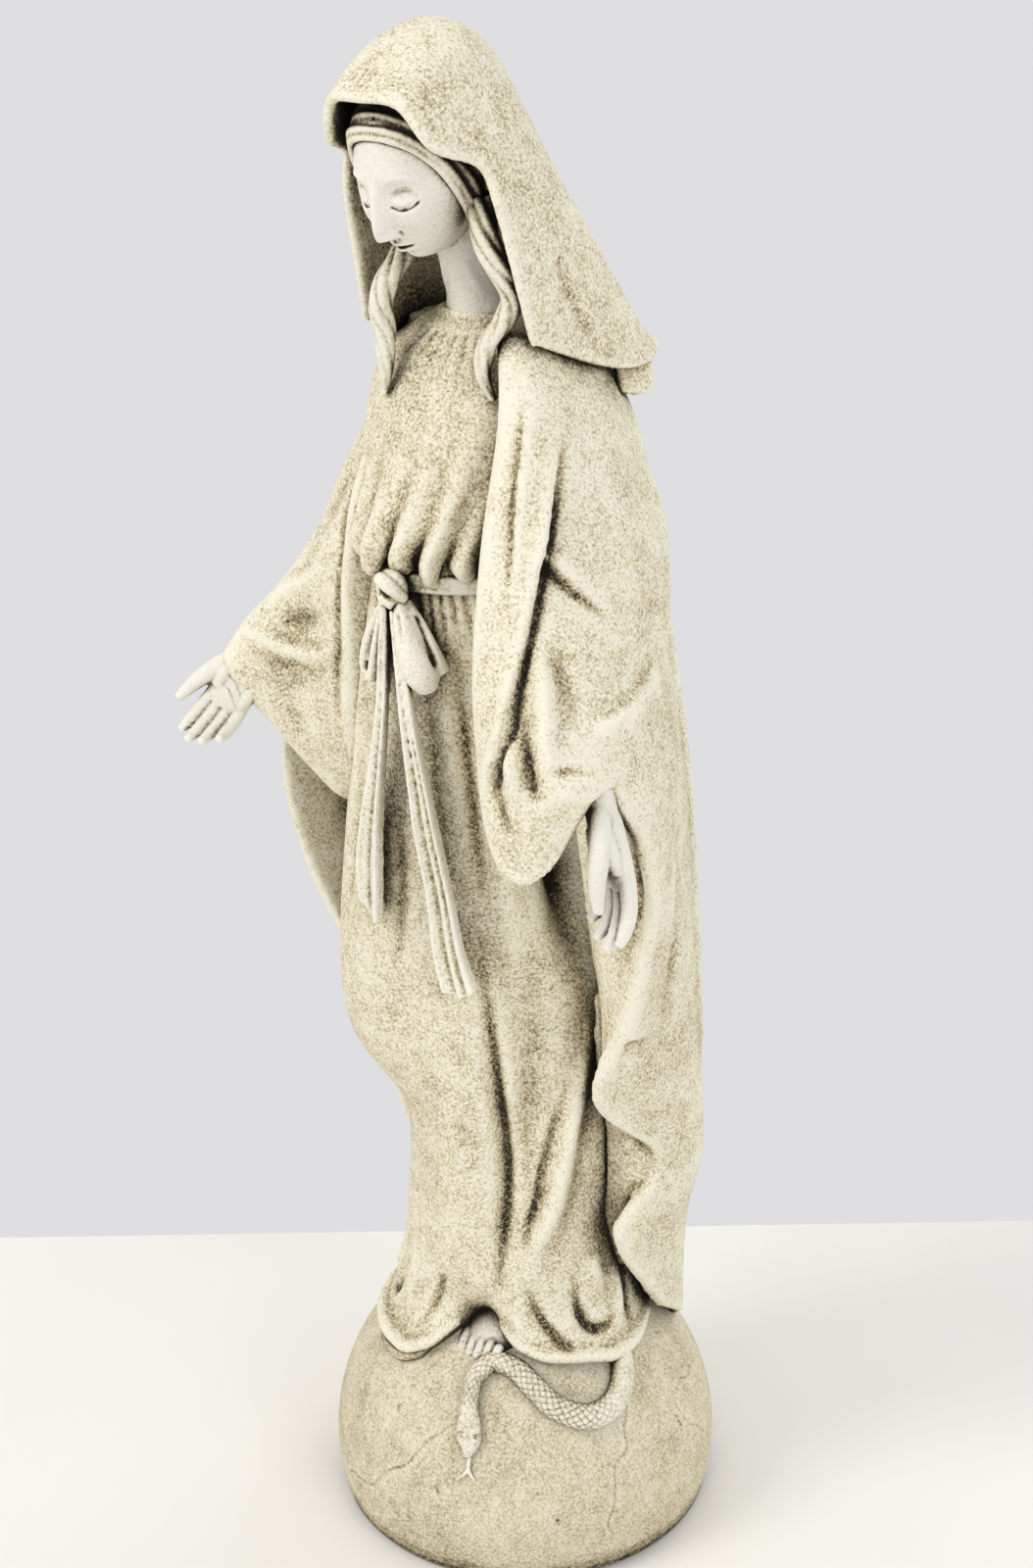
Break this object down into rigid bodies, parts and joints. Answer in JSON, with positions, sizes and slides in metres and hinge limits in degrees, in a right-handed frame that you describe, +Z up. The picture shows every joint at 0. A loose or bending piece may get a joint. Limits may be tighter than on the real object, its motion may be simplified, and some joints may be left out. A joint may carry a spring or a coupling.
{
  "type": "madonna statue",
  "caption": "Standing veiled madonna in a belted gown and draped mantle, hands open at the sides, foot on a serpent on a cracked globe base.",
  "frame": {"origin": "centre of the underside of the felt, on the globe's vertical axis", "axes": "+Z up through the figure, -Y is the way the figure faces, +X is the figure's left"},
  "size_m": [0.2051, 0.1707, 0.5975],
  "materials": {
    "stone_globe": "matte",
    "plate": "matte",
    "felt": "matte",
    "stone_gown": "matte",
    "stone_pale": "matte",
    "stone_skin": "matte",
    "stone_mantle": "matte",
    "stone_veil": "matte",
    "stone_hair": "matte",
    "steel": "satin"
  },
  "bodies": {
    "root": {"globe_base": "stone_globe", "base_plate": "plate", "base_felt": "felt", "serpent_body": "stone_pale", "serpent_tail": "stone_pale", "serpent_tongue": "stone_pale", "foot": "stone_skin", "gown_skirt": "stone_gown", "bodice": "stone_gown", "sash_band": "stone_pale", "sash_knot": "stone_pale", "sash_loop_left": "stone_pale", "sash_loop_right": "stone_pale", "sash_tail_left": "stone_pale", "sash_tail_right": "stone_pale", "mantle_back": "stone_mantle", "mantle_left": "stone_mantle", "mantle_right": "stone_mantle", "veil": "stone_veil", "head": "stone_skin", "hair_front_left": "stone_hair", "hair_front_right": "stone_hair", "hair_lock_left": "stone_hair", "hair_lock_right": "stone_hair", "hand_left": "stone_skin", "hand_right": "stone_skin", "core_rod": "steel", "wrist_pin_left": "steel", "wrist_pin_right": "steel"}
  },
  "joints": []
}
